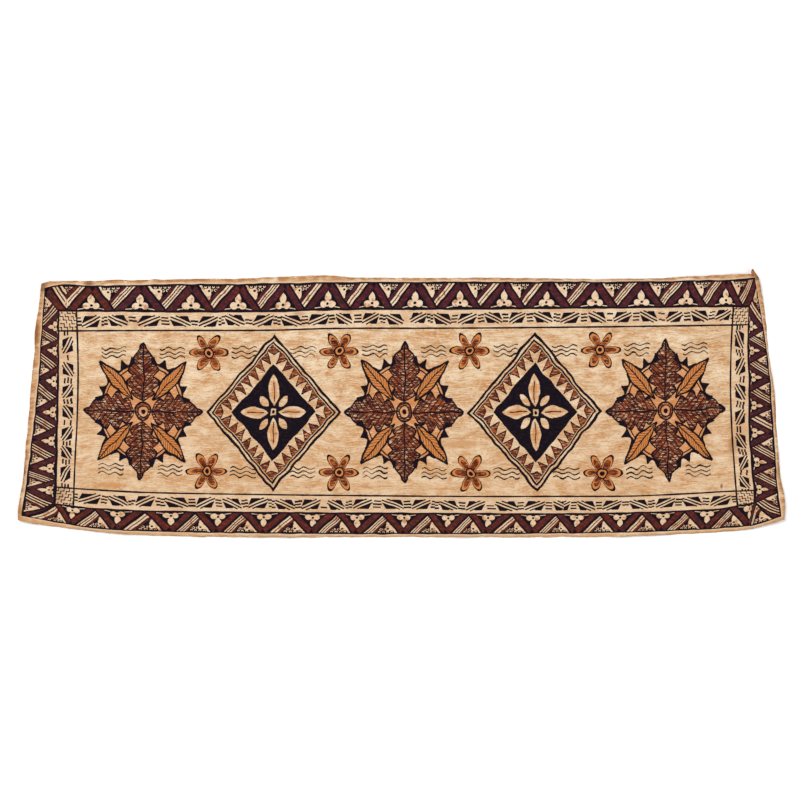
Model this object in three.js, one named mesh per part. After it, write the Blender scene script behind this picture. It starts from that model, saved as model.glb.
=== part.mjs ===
import * as THREE from 'three';

// A painted bark cloth panel lying flat: one beaten sheet, wider at its lower edge than at its
// upper one, with a few soft cockles and a small curled tag at its upper right corner.
// Millimetres, +Z up. X runs along the panel and +Y towards its narrow edge. The origin is the
// centre of the panel's outline, on the surface that it lies on.

const panelWidth = 1500;          // between the two side edges, where the panel is widest
const panelHeight = 525;          // from the lower edge to the tip of the corner tag
const barkThickness = 1.2;        // two beaten layers, felted together
const columnCount = 60;           // cells along the panel
const rowCount = 22;              // cells across it
const flatThreshold = 1.0;        // rises lower than this lie flat on the surface
const settleSteps = 6;            // rounds that find where a column and a row cross

// Each edge is a smooth line through a few stations: along is the distance from the panel's
// middle in the edge's own direction, and out is how far the edge lies from the middle line.
const upperEdge = [
  { along: -704, out: 234 },
  { along: -687, out: 238 },
  { along: -628, out: 240 },
  { along: -511, out: 242 },
  { along: -335, out: 244 },
  { along: -158, out: 250 },
  { along: -79, out: 246 },
  { along: 195, out: 246 },
  { along: 313, out: 244 },
  { along: 469, out: 244 },
  { along: 587, out: 249 },
  { along: 683, out: 253 },
  { along: 699, out: 246 },
];
const lowerEdge = [
  { along: -750, out: -229 },
  { along: -727, out: -234 },
  { along: -667, out: -243 },
  { along: -589, out: -252 },
  { along: -511, out: -258 },
  { along: -354, out: -262 },
  { along: 0, out: -262 },
  { along: 391, out: -262 },
  { along: 509, out: -258 },
  { along: 626, out: -252 },
  { along: 695, out: -244 },
  { along: 750, out: -227 },
];
const leftEdge = [
  { along: -229, out: -750 },
  { along: -201, out: -749 },
  { along: -156, out: -742 },
  { along: -85, out: -735 },
  { along: -26, out: -730 },
  { along: 45, out: -724 },
  { along: 88, out: -720 },
  { along: 104, out: -718 },
  { along: 146, out: -717 },
  { along: 186, out: -710 },
  { along: 234, out: -704 },
];
const rightEdge = [
  { along: -227, out: 750 },
  { along: -190, out: 750 },
  { along: -131, out: 741 },
  { along: -61, out: 736 },
  { along: 7, out: 732 },
  { along: 81, out: 722 },
  { along: 162, out: 714 },
  { along: 204, out: 708 },
  { along: 246, out: 699 },
];

// Soft cockles: centre, turn from +X in degrees, half length, half width and rise.
const cockles = [
  { x: -690, y: 225, turn: -35, halfLength: 95, halfWidth: 55, rise: 6.5 },
  { x: 700, y: 238, turn: 35, halfLength: 110, halfWidth: 60, rise: 8.0 },
  { x: -735, y: -220, turn: 40, halfLength: 110, halfWidth: 60, rise: 6.0 },
  { x: 738, y: -214, turn: -40, halfLength: 130, halfWidth: 70, rise: 7.5 },
  { x: -722, y: 122, turn: 8, halfLength: 90, halfWidth: 34, rise: 5.0 },
  { x: -742, y: -80, turn: -6, halfLength: 80, halfWidth: 46, rise: 3.6 },
  { x: 730, y: 40, turn: -10, halfLength: 110, halfWidth: 48, rise: 5.0 },
  { x: 742, y: -105, turn: 14, halfLength: 90, halfWidth: 40, rise: 4.2 },
  { x: -420, y: 243, turn: 82, halfLength: 70, halfWidth: 90, rise: 3.8 },
  { x: -150, y: 246, turn: 96, halfLength: 90, halfWidth: 70, rise: 4.6 },
  { x: 300, y: 244, turn: 88, halfLength: 60, halfWidth: 110, rise: 3.4 },
  { x: 575, y: 246, turn: 100, halfLength: 80, halfWidth: 70, rise: 4.4 },
  { x: -560, y: -252, turn: 78, halfLength: 70, halfWidth: 80, rise: 4.4 },
  { x: -230, y: -262, turn: 92, halfLength: 60, halfWidth: 120, rise: 3.4 },
  { x: 120, y: -262, turn: 86, halfLength: 80, halfWidth: 70, rise: 4.0 },
  { x: 470, y: -258, turn: 97, halfLength: 70, halfWidth: 90, rise: 3.8 },
  { x: -245, y: -150, turn: -7, halfLength: 150, halfWidth: 34, rise: 4.6 },
  { x: -330, y: 20, turn: 5, halfLength: 170, halfWidth: 38, rise: 3.6 },
  { x: 290, y: -25, turn: -4, halfLength: 170, halfWidth: 36, rise: 4.2 },
  { x: 60, y: 120, turn: 6, halfLength: 140, halfWidth: 34, rise: 3.2 },
  { x: 470, y: -95, turn: 9, halfLength: 150, halfWidth: 40, rise: 4.0 },
  { x: 565, y: 95, turn: -12, halfLength: 120, halfWidth: 36, rise: 3.4 },
  { x: -560, y: -70, turn: 10, halfLength: 110, halfWidth: 36, rise: 3.4 },
];

// The curled tag at the upper right corner: a strip of the sheet's own edge that narrows to a tip.
const tagSections = [
  { x: 687, y: 255, width: 11, rise: 7.5 },
  { x: 686, y: 260, width: 6, rise: 9.5 },
  { x: 685, y: 263, width: 2, rise: 12.0 },
];

// The height of a smooth line through an edge's stations.
function lineThrough(stations, along) {
  const last = stations.length - 1;
  let i = 0;
  while (i < last - 1 && along > stations[i + 1].along) i += 1;
  const from = stations[i];
  const to = stations[i + 1];
  const before = stations[Math.max(i - 1, 0)];
  const after = stations[Math.min(i + 2, last)];
  const span = to.along - from.along;
  const share = THREE.MathUtils.clamp((along - from.along) / span, 0, 1);
  const slopeFrom = (to.out - before.out) / (to.along - before.along);
  const slopeTo = (after.out - from.out) / (after.along - from.along);
  const square = share * share;
  const cube = square * share;
  return (2 * cube - 3 * square + 1) * from.out
    + (cube - 2 * square + share) * span * slopeFrom
    + (3 * square - 2 * cube) * to.out
    + (cube - square) * span * slopeTo;
}

// Where a column and a row of the sheet cross, as shares of its width and its height.
function crossing(columnShare, rowShare) {
  let x = (columnShare - 0.5) * panelWidth;
  let y = (rowShare - 0.5) * panelHeight;
  for (let step = 0; step < settleSteps; step += 1) {
    x = THREE.MathUtils.lerp(lineThrough(leftEdge, y), lineThrough(rightEdge, y), columnShare);
    y = THREE.MathUtils.lerp(lineThrough(lowerEdge, x), lineThrough(upperEdge, x), rowShare);
  }
  return new THREE.Vector2(x, y);
}

// How far the sheet stands off the surface at a place: the cockles added up, less the part
// that its own weight presses flat.
function sheetRise(x, y) {
  let total = 0;
  for (const cockle of cockles) {
    const place = new THREE.Vector2(x - cockle.x, y - cockle.y);
    place.rotateAround(new THREE.Vector2(), -THREE.MathUtils.degToRad(cockle.turn));
    const far = (place.x / cockle.halfLength) ** 2 + (place.y / cockle.halfWidth) ** 2;
    total += cockle.rise * Math.exp(-1.5 * far);
  }
  return Math.max(0, total - flatThreshold);
}

// The underside of the sheet, as points and four-sided cells.
function sheetUnderside() {
  const points = [];
  const cells = [];
  const pointAt = (column, row) => column * (rowCount + 1) + row;
  for (let column = 0; column <= columnCount; column += 1) {
    for (let row = 0; row <= rowCount; row += 1) {
      const place = crossing(column / columnCount, row / rowCount);
      points.push(new THREE.Vector3(place.x, place.y, sheetRise(place.x, place.y)));
    }
  }
  for (let column = 0; column < columnCount; column += 1) {
    for (let row = 0; row < rowCount; row += 1) {
      cells.push([
        pointAt(column, row), pointAt(column + 1, row),
        pointAt(column + 1, row + 1), pointAt(column, row + 1),
      ]);
    }
  }
  let rootLeft = pointAt(columnCount - 1, rowCount);
  let rootRight = pointAt(columnCount, rowCount);
  for (const section of tagSections) {
    const tipLeft = points.length;
    const tipRight = tipLeft + 1;
    points.push(new THREE.Vector3(section.x - section.width / 2, section.y, section.rise));
    points.push(new THREE.Vector3(section.x + section.width / 2, section.y, section.rise));
    cells.push([rootLeft, rootRight, tipRight, tipLeft]);
    rootLeft = tipLeft;
    rootRight = tipRight;
  }
  return { points, cells };
}

// The sheet with its thickness: underside, upper side square to it, and a rim round both.
function thickSheet({ points, cells }, thickness) {
  const triangles = cells.flatMap(([a, b, c, d]) => [[a, b, c], [a, c, d]]);
  const upperSide = new THREE.BufferGeometry().setFromPoints(points);
  upperSide.setIndex(triangles.flat());
  upperSide.computeVertexNormals();
  const normals = upperSide.getAttribute('normal');
  const lifted = points.map((point, i) => {
    const normal = new THREE.Vector3().fromBufferAttribute(normals, i);
    return point.clone().addScaledVector(normal, thickness);
  });

  const count = points.length;
  const faces = [];
  const openEdges = new Map();
  for (const [a, b, c] of triangles) {
    faces.push([c, b, a], [a + count, b + count, c + count]);
    for (const [from, to] of [[a, b], [b, c], [c, a]]) {
      if (!openEdges.delete(`${to},${from}`)) openEdges.set(`${from},${to}`, [from, to]);
    }
  }
  for (const [from, to] of openEdges.values()) {
    faces.push([from, to, to + count], [from, to + count, from + count]);
  }
  const solid = new THREE.BufferGeometry().setFromPoints([...points, ...lifted]);
  solid.setIndex(faces.flat());
  solid.computeVertexNormals();
  return solid;
}

// The cloth stands with the middle of its outline over the origin.
function centred(geometry) {
  geometry.computeBoundingBox();
  const middle = geometry.boundingBox.getCenter(new THREE.Vector3());
  return geometry.translate(-middle.x, -middle.y, 0);
}

const barkCloth = new THREE.MeshStandardMaterial({
  color: new THREE.Color(0.86, 0.71, 0.55),
  roughness: 0.9,
  metalness: 0,
});

const cloth = new THREE.Mesh(centred(thickSheet(sheetUnderside(), barkThickness)), barkCloth);
cloth.name = 'tapa_cloth';

const part = new THREE.Group();
part.add(cloth);

export default part;
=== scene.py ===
import math

import bmesh
import bpy
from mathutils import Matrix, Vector, noise


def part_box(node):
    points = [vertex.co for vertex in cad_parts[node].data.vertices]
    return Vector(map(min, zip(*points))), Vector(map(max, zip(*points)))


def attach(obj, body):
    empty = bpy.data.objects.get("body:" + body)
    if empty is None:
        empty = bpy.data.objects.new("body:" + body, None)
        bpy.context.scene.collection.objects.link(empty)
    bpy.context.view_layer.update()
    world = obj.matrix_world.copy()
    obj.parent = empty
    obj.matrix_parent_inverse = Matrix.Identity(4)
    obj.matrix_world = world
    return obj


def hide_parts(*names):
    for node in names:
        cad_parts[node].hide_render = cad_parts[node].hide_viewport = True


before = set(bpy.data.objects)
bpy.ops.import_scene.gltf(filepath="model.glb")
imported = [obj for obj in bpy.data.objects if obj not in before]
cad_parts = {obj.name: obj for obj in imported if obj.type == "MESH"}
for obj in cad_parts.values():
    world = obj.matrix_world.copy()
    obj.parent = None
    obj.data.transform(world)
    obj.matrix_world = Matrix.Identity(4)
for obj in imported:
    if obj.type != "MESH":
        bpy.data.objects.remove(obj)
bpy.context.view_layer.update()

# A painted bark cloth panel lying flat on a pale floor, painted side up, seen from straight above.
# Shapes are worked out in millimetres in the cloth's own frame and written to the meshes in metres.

mm = 0.001  # metres in a millimetre


# Camera, floor and light

studio = {
    "frameWidth": 1568.0,  # what the picture takes in at the floor, mm
    "lookAt": (-2.9, 6.7),  # point of the floor under the middle of the picture, mm
    "lens": 85.0,
    "sensor": 36.0,
    "floorSize": 9.0,  # m
    "floorDrop": 0.0001,  # m, so that the floor and the sheet's underside don't share a plane
    "floorColour": (0.95, 0.95, 0.945),
    "skyColour": (1.0, 1.0, 1.0),
    "skyStrength": 0.61,
    "keyPower": 222.0,
    "keySize": 3.0,  # m
    "keyPlace": (-2.1, 2.4, 5.4),  # m
    "fillPower": 74.0,
    "fillPlace": (4.2, -2.4, 4.4),
}


def makeCamera():
    data = bpy.data.cameras.new("camera")
    data.lens = studio["lens"]
    data.sensor_width = studio["sensor"]
    camera = bpy.data.objects.new("camera", data)
    bpy.context.collection.objects.link(camera)
    distance = studio["frameWidth"] * mm * studio["lens"] / studio["sensor"]
    x, y = studio["lookAt"]
    camera.location = (x * mm, y * mm, distance)
    bpy.context.scene.camera = camera


def makeAreaLight(name, place, power, size):
    data = bpy.data.lights.new(name, "AREA")
    data.energy = power
    data.size = size
    light = bpy.data.objects.new(name, data)
    bpy.context.collection.objects.link(light)
    light.location = place
    light.rotation_euler = (-Vector(place)).to_track_quat("-Z", "Y").to_euler()


def makeFloor():
    bm = bmesh.new()
    bmesh.ops.create_grid(bm, x_segments=2, y_segments=2, size=studio["floorSize"] / 2)
    bmesh.ops.translate(bm, verts=bm.verts, vec=(0, 0, -studio["floorDrop"]))
    mesh = bpy.data.meshes.new("floor")
    bm.to_mesh(mesh)
    bm.free()
    floor = bpy.data.objects.new("floor", mesh)
    bpy.context.collection.objects.link(floor)
    material = bpy.data.materials.new("floor paint")
    material.use_nodes = True
    shader = material.node_tree.nodes["Principled BSDF"]
    shader.inputs["Base Color"].default_value = (*studio["floorColour"], 1)
    shader.inputs["Roughness"].default_value = 0.9
    shader.inputs["Specular IOR Level"].default_value = 0.1
    mesh.materials.append(material)


makeCamera()
makeFloor()
makeAreaLight("key light", studio["keyPlace"], studio["keyPower"], studio["keySize"])
makeAreaLight("fill light", studio["fillPlace"], studio["fillPower"], studio["keySize"])
world = bpy.data.worlds.new("studio")
world.use_nodes = True
world.node_tree.nodes["Background"].inputs["Color"].default_value = (*studio["skyColour"], 1)
world.node_tree.nodes["Background"].inputs["Strength"].default_value = studio["skyStrength"]
bpy.context.scene.world = world
bpy.context.scene.view_settings.view_transform = "Standard"
print("camera, floor and lights are made")


# Lines of the cloth: each is a smooth line through stations (along, out) in mm

clothEdges = {
    "upper": ((-704, 234), (-687, 238), (-628, 240), (-511, 242), (-335, 244), (-158, 250), (-79, 246),
              (195, 246), (313, 244), (469, 244), (587, 249), (683, 253), (699, 246)),
    "lower": ((-750, -229), (-727, -234), (-667, -243), (-589, -252), (-511, -258), (-354, -262),
              (0, -262), (391, -262), (509, -258), (626, -252), (695, -244), (750, -227)),
    "left": ((-229, -750), (-201, -749), (-156, -742), (-85, -735), (-26, -730), (45, -724),
             (88, -720), (104, -718), (146, -717), (186, -710), (234, -704)),
    "right": ((-227, 750), (-190, 750), (-131, 741), (-61, 736), (7, 732), (81, 722), (162, 714),
              (204, 708), (246, 699)),
}

# The painted frame's lines: outer line, line inside the triangles, and line round the field
paintedLines = {
    "upperOuter": ((-698, 224), (-674, 230), (-649, 231), (-610, 229), (-492, 231), (-257, 233),
                   (-139, 235.5), (96, 236.5), (449, 237), (567, 239), (635, 240), (688, 244)),
    "upperMiddle": ((-671, 181.5), (-492, 180.5), (-257, 181), (-139, 184), (96, 185.5), (449, 188),
                    (567, 190), (677, 190)),
    "upperField": ((-671, 141.5), (-492, 142.5), (-257, 143), (-139, 146.5), (96, 147), (331, 149),
                   (567, 152), (677, 154)),
    "lowerField": ((-679, -164), (-610, -169), (-492, -175), (-257, -179), (96, -182.5), (331, -182.5),
                   (449, -182), (567, -177), (635, -173), (695, -171)),
    "lowerMiddle": ((-679, -197), (-610, -206), (-492, -211.5), (-257, -214.5), (96, -216.5),
                    (331, -217), (449, -215), (567, -211), (635, -206), (693, -195)),
    "lowerOuter": ((-742, -220), (-610, -243), (-492, -250), (-257, -254), (-21, -255.5), (331, -254),
                   (449, -252), (567, -247.5), (635, -243.5), (692, -237), (742, -221)),
    "leftOuter": ((-220, -741), (-83, -724), (52, -710), (165, -702), (226, -697)),
    "leftMiddle": ((-197, -679), (-131, -676), (-34, -674), (64, -672), (181, -671)),
    "leftField": ((-197, -642), (-131, -640), (-34, -635), (64, -633), (181, -636)),
    "rightField": ((-197, 658), (-131, 653), (-34, 647), (64, 645), (181, 650)),
    "rightMiddle": ((-197, 693), (-131, 688), (-61, 683), (15, 682), (113, 680), (190, 680.5)),
    "rightOuter": ((-220, 742), (-160, 735), (-61, 729), (88, 717), (153, 708), (182, 703),
                   (240, 692)),
}


def smoothLine(stations, along):
    last = len(stations) - 1
    i = 0
    while i < last - 1 and along > stations[i + 1][0]:
        i += 1
    a0, o0 = stations[i]
    a1, o1 = stations[i + 1]
    before = stations[max(i - 1, 0)]
    after = stations[min(i + 2, last)]
    span = a1 - a0
    share = min(max((along - a0) / span, 0), 1)
    slope0 = (o1 - before[1]) / (a1 - before[0])
    slope1 = (after[1] - o0) / (after[0] - a0)
    square, cube = share**2, share**3
    return (
        (2 * cube - 3 * square + 1) * o0
        + (cube - 2 * square + share) * span * slope0
        + (3 * square - 2 * cube) * o1
        + (cube - square) * span * slope1
    )


def evenly(value, knots):
    # knots are (place, number) pairs in rising order of place, and go on straight past both ends
    i = 1
    while i < len(knots) - 1 and value > knots[i][0]:
        i += 1
    (p0, n0), (p1, n1) = knots[i - 1], knots[i]
    return n0 + (n1 - n0) * (value - p0) / (p1 - p0)


def placeCount(value, ends, places):
    # counts the places along a side: the middle of the first one is at 0.5
    knots = [(ends[0], 0)] + [(place, i + 0.5) for i, place in enumerate(places)]
    return evenly(value, knots + [(ends[1], len(places))])


# The bark sheet

sheet = {
    "thickness": 1.2,  # mm, two beaten layers felted together
    "drawnSize": (1500.0, 525.0),  # mm
    "columns": 322,
    "rows": 112,
    "settleSteps": 5,
    "flatThreshold": 1.0,  # cockles lower than this lie flat, mm
    "cockleReach": 330.0,  # beyond this a cockle raises nothing, mm
    "cockleFall": 1.5,  # how steeply a cockle falls off
    "creaseRise": 0.55,  # fine creases along the bark's grain, mm
    "creaseSpacing": (85.0, 11.0),  # their usual length and spacing, mm
    "edgeSize": (1470.0, 500.0),  # size from which the nearness to an edge is told, mm
    "edgeFade": 14.0,  # how far inwards the wandering of the cut edge fades out, mm
    "edgeRagged": 1.1,  # how far the cut edge wanders, mm
    "edgeWaves": (23.0, 6.0),  # length of its slow and of its quick waves, mm
    "edgeCurl": 1.6,  # how far the rim stands off the floor between cockles, mm
    "curlWave": 45.0,
    "tagRoot": (682.5, 240.0),  # the tag grows from the rim beyond this place, mm
    "tag": ((11.6, 689.8, 250.6, 8.2), (8.8, 688.3, 254.6, 8.8), (6.0, 687.1, 258.6, 9.8),
            (2.6, 686.2, 262.8, 11.6)),  # width, x, y and rise of the curled corner tag, mm
}

# Soft cockles: x, y, turn in degrees, half length, half width and rise, mm
cockles = (
    (-690, 225, -35, 95, 55, 6.5), (700, 238, 35, 110, 60, 8.0), (-735, -220, 40, 110, 60, 6.0),
    (738, -214, -40, 130, 70, 7.5), (-722, 122, 8, 90, 34, 5.0), (-742, -80, -6, 80, 46, 3.6),
    (730, 40, -10, 110, 48, 5.0), (742, -105, 14, 90, 40, 4.2), (-420, 243, 82, 70, 90, 3.8),
    (-150, 246, 96, 90, 70, 4.6), (300, 244, 88, 60, 110, 3.4), (575, 246, 100, 80, 70, 4.4),
    (-560, -252, 78, 70, 80, 4.4), (-230, -262, 92, 60, 120, 3.4), (120, -262, 86, 80, 70, 4.0),
    (470, -258, 97, 70, 90, 3.8), (-245, -150, -7, 150, 34, 4.6), (-330, 20, 5, 170, 38, 3.6),
    (290, -25, -4, 170, 36, 4.2), (60, 120, 6, 140, 34, 3.2), (470, -95, 9, 150, 40, 4.0),
    (565, 95, -12, 120, 36, 3.4), (-560, -70, 10, 110, 36, 3.4),
)

# Where the border's three-lobed flowers stand, mm along each side, between its two end corners
flowerPlaces = {
    "upper": (-610, -512.5, -412, -320, -231, -145, -57, 26.5, 114, 200, 285, 378, 470, 559, 634),
    "lower": (-645, -557, -450, -359, -268, -173, -83.5, 7.5, 91.5, 170, 259.5, 344.5, 430, 512.5,
              599, 683),
    "left": (-170, -130, -74, -18.5, 43, 103.5, 148),
    "right": (-167, -116, -57, -4, 50, 103.5, 150),
}

notchShift = {"upper": (16, 12)}  # how far inside the corner a side's end notches stand, mm

# Where the groups of slanted strokes stand in the band round the field, mm along each side
strokePlaces = {
    "upper": (-607, -558, -493, -431, -376, -328, -268, -217, -160, -113, -59, -13, 34, 80, 129,
              182, 226, 278, 330, 385, 433, 485, 535, 585, 633),
    "lower": (-610, -553, -504, -439, -383, -331, -281, -227, -176, -128, -78, -14, 39, 93, 144,
              208, 262, 315, 362, 413, 465, 518, 570, 623),
    "left": (-134, -95, -61, -16, 23, 66, 112),
    "right": (-155, -117, -74, -28, 23, 72, 124),
}


def sheetRise(x, y):
    total = 0
    for cx, cy, turn, halfLength, halfWidth, rise in cockles:
        dx, dy = x - cx, y - cy
        if abs(dx) > sheet["cockleReach"] or abs(dy) > sheet["cockleReach"]:
            continue
        c, s = math.cos(math.radians(turn)), math.sin(math.radians(turn))
        far = ((dx * c + dy * s) / halfLength) ** 2 + ((dy * c - dx * s) / halfWidth) ** 2
        total += rise * math.exp(-sheet["cockleFall"] * far)
    return max(0, total - sheet["flatThreshold"])


def creaseRise(x, y):
    # low ridges that follow the beaten grain, gathered in patches
    length, spacing = sheet["creaseSpacing"]
    drift = noise.noise((x / 160, y / 90, 3.1)) * 14
    ridge = noise.noise((x / length, (y + drift) / spacing, 7.7))
    patch = noise.noise((x / 190, y / 75, 12.4)) * 0.5 + 0.5
    return max(0, ridge) * patch * sheet["creaseRise"] * 2


def crossing(columnShare, rowShare):
    # the place on the sheet where a column and a row meet, settled in a few steps
    width, height = sheet["drawnSize"]
    x = (columnShare - 0.5) * width
    y = (rowShare - 0.5) * height
    for step in range(sheet["settleSteps"]):
        left, right = smoothLine(clothEdges["left"], y), smoothLine(clothEdges["right"], y)
        x = left + (right - left) * columnShare
        lower, upper = smoothLine(clothEdges["lower"], x), smoothLine(clothEdges["upper"], x)
        y = lower + (upper - lower) * rowShare
    return x, y


def wanderAt(x, y, wave, firstLayer, secondLayer):
    return Vector((noise.noise((x / wave, y / wave, firstLayer)),
                   noise.noise((x / wave, y / wave, secondLayer)), 0))


def raggedEdge(x, y, columnShare, rowShare):
    # the cut edge wanders a little, fading out inwards
    width, height = sheet["edgeSize"]
    near = min(columnShare * width, (1 - columnShare) * width,
               rowShare * height, (1 - rowShare) * height)
    fade = max(0, 1 - near / sheet["edgeFade"])
    if fade == 0:
        return x, y, 0
    slow, quick = sheet["edgeWaves"]
    wander = wanderAt(x, y, slow, 1.0, 9.0)
    wander += wanderAt(x, y, quick, 4.0, 6.0) * 0.6
    wander *= sheet["edgeRagged"] * fade
    wave = sheet["curlWave"]
    curl = max(0, noise.noise((x / wave, y / wave, 15.0)) + 0.1) * sheet["edgeCurl"] * fade * 1.6
    return x + wander.x, y + wander.y, curl


# Sizes of the painted work, mm
paint = {
    "field": (1290.0, 325.0),
    "strokeBand": 36.0,
}


def alongSide(value, side, lines, start, end):
    # counts the groups of strokes and the flowers along a side that runs from start to end
    ends = lines[start + "Field"], lines[end + "Field"]
    strokes = placeCount(value, ends, strokePlaces[side])
    first, last = notchShift.get(side, (0, 0))
    count = len(flowerPlaces[side])
    knots = [(lines[start + "Outer"], -0.5), (lines[start + "Middle"] + first, 0)]
    knots += [(place, i + 0.5) for i, place in enumerate(flowerPlaces[side])]
    knots += [(lines[end + "Middle"] - last, count), (lines[end + "Outer"], count + 0.5)]
    return strokes, evenly(value, knots)


def borderPlaces(x, y):
    # along the long sides, along the short sides, and how far out in the triangle band in each
    # direction: 0 at its inner line, 1 at its outer line
    lines = {name: smoothLine(stations, x if name.startswith(("upper", "lower")) else y)
             for name, stations in paintedLines.items()}
    outX = max((lines["leftMiddle"] - x) / (lines["leftMiddle"] - lines["leftOuter"]),
               (x - lines["rightMiddle"]) / (lines["rightOuter"] - lines["rightMiddle"]))
    outY = max((y - lines["upperMiddle"]) / (lines["upperOuter"] - lines["upperMiddle"]),
               (lines["lowerMiddle"] - y) / (lines["lowerMiddle"] - lines["lowerOuter"]))

    side = "upper" if y > 0 else "lower"
    strokesLong, alongLong = alongSide(x, side, lines, "left", "right")
    if side == "lower":
        strokesLong += 1
        alongLong = -alongLong
    side = "left" if x < 0 else "right"
    strokesShort, alongShort = alongSide(y, side, lines, "lower", "upper")
    strokesShort += 1
    if side == "right":
        alongShort = -alongShort

    # the field and the band of strokes round it, in their drawn sizes
    field = paint["field"]
    band = paint["strokeBand"]
    fieldX = evenly(x, [(lines["leftMiddle"], -band), (lines["leftField"], 0),
                        (lines["rightField"], field[0]), (lines["rightMiddle"], field[0] + band)])
    fieldY = evenly(y, [(lines["lowerMiddle"], -band), (lines["lowerField"], 0),
                        (lines["upperField"], field[1]), (lines["upperMiddle"], field[1] + band)])
    return (alongLong, alongShort, strokesLong), (outX, outY, 0), (fieldX, fieldY, strokesShort)


def makeSheet():
    bm = bmesh.new()
    bmesh.ops.create_grid(bm, x_segments=sheet["columns"], y_segments=sheet["rows"], size=0.5)
    along = bm.verts.layers.float_vector.new("alongBorder")
    outward = bm.verts.layers.float_vector.new("acrossBorder")
    inField = bm.verts.layers.float_vector.new("fieldPlace")
    for vert in bm.verts:
        columnShare, rowShare = vert.co.x + 0.5, vert.co.y + 0.5
        x, y = crossing(columnShare, rowShare)
        vert[along], vert[outward], vert[inField] = borderPlaces(x, y)
        edge = min(x - smoothLine(clothEdges["left"], y), smoothLine(clothEdges["right"], y) - x,
                   y - smoothLine(clothEdges["lower"], x), smoothLine(clothEdges["upper"], x) - y)
        vert[outward].z = edge
        x, y, curl = raggedEdge(x, y, columnShare, rowShare)
        vert.co = (x, y, sheetRise(x, y) + creaseRise(x, y) + curl)

    # the curled tag grows from the last edges of the upper side
    rootX, rootY = sheet["tagRoot"]
    roots = [e for e in bm.edges if e.is_boundary
             and all(v.co.x > rootX and v.co.y > rootY for v in e.verts)]
    for width, x, y, rise in sheet["tag"]:
        grown = bmesh.ops.extrude_edge_only(bm, edges=roots)["geom"]
        roots = [g for g in grown if isinstance(g, bmesh.types.BMEdge)]
        tip = [g for g in grown if isinstance(g, bmesh.types.BMVert)]
        tip.sort(key=lambda v: v.co.x)
        for i, vert in enumerate(tip):
            across = i / (len(tip) - 1) - 0.5
            vert.co = (x + across * width, y, rise - across * width * 0.35)
            vert[outward].z = 1.5

    bmesh.ops.scale(bm, verts=bm.verts, vec=(mm, mm, mm))
    centreOn(bm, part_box("tapa_cloth"))
    bmesh.ops.recalc_face_normals(bm, faces=bm.faces)
    if sum(face.normal.z for face in bm.faces) < 0:
        bmesh.ops.reverse_faces(bm, faces=bm.faces)
    bmesh.ops.solidify(bm, geom=bm.faces, thickness=-sheet["thickness"] * mm)
    bmesh.ops.recalc_face_normals(bm, faces=bm.faces)
    layOutMap(bm)
    mesh = bpy.data.meshes.new("bark cloth")
    bm.to_mesh(mesh)
    bm.free()
    piece = bpy.data.objects.new("bark_sheet", mesh)
    bpy.context.collection.objects.link(piece)
    return piece


# The sheet's own map: which stretch of the sheet, in m, fills which stretch of the map
mapPlaces = {
    "topLeft": ((-0.756, 0.006), (-0.27, 0.27), (0.004, 0.996), (0.60, 0.996)),
    "topRight": ((-0.006, 0.756), (-0.27, 0.27), (0.004, 0.996), (0.195, 0.591)),
    "under": ((-0.756, 0.756), (-0.27, 0.27), (0.004, 0.996), (0.05, 0.186)),
    "rimBack": ((-0.756, 0.756), (0, 1), (0.004, 0.996), (0.034, 0.042)),
    "rimFront": ((-0.756, 0.756), (0, 1), (0.004, 0.996), (0.019, 0.027)),
    "rimLeft": ((-0.27, 0.27), (0, 1), (0.004, 0.49), (0.004, 0.012)),
    "rimRight": ((-0.27, 0.27), (0, 1), (0.51, 0.996), (0.004, 0.012)),
}


def layOutMap(bm):
    # the painted side takes most of the map, in two halves one above the other
    layer = bm.loops.layers.uv.new("OFBake")
    for face in bm.faces:
        middle = face.calc_center_median()
        if face.normal.z > 0.3:
            part = "topLeft" if middle.x < 0 else "topRight"
        elif face.normal.z < -0.3:
            part = "under"
        elif abs(face.normal.y) > abs(face.normal.x):
            part = "rimBack" if face.normal.y > 0 else "rimFront"
        else:
            part = "rimRight" if face.normal.x > 0 else "rimLeft"
        fromX, fromY, toU, toV = mapPlaces[part]
        for loop in face.loops:
            x, y = loop.vert.co.x, loop.vert.co.y
            if part in ("rimLeft", "rimRight"):
                x = y
            if part.startswith("rim"):
                # 1 along the painted side and 0 along the underside
                y = max(neighbour.normal.z for neighbour in loop.vert.link_faces) > 0.3
            shareU = (x - fromX[0]) / (fromX[1] - fromX[0])
            shareV = (y - fromY[0]) / (fromY[1] - fromY[0])
            loop[layer].uv = (toU[0] + shareU * (toU[1] - toU[0]), toV[0] + shareV * (toV[1] - toV[0]))


def centreOn(bm, box):
    xs = [v.co.x for v in bm.verts]
    ys = [v.co.y for v in bm.verts]
    low, high = box
    shiftX = (low[0] + high[0] - min(xs) - max(xs)) / 2
    shiftY = (low[1] + high[1] - min(ys) - max(ys)) / 2
    bmesh.ops.translate(bm, verts=bm.verts, vec=(shiftX, shiftY, 0))


# Painting tools: numbers, masks and colours wired between shader nodes

class Wire:
    # one output of a node, so that masks can be written as plain sums
    def __init__(self, desk, socket):
        self.desk = desk
        self.socket = socket

    def __add__(self, other):
        return self.desk.math("ADD", self, other)

    __radd__ = __add__

    def __sub__(self, other):
        return self.desk.math("SUBTRACT", self, other)

    def __rsub__(self, other):
        return self.desk.math("SUBTRACT", other, self)

    def __mul__(self, other):
        return self.desk.math("MULTIPLY", self, other)

    def __gt__(self, other):
        return self.desk.math("GREATER_THAN", self, other)

    def __lt__(self, other):
        return self.desk.math("LESS_THAN", self, other)

    def __neg__(self):
        return self.desk.math("MULTIPLY", self, -1)

    def __abs__(self):
        return self.desk.math("ABSOLUTE", self)


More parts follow.
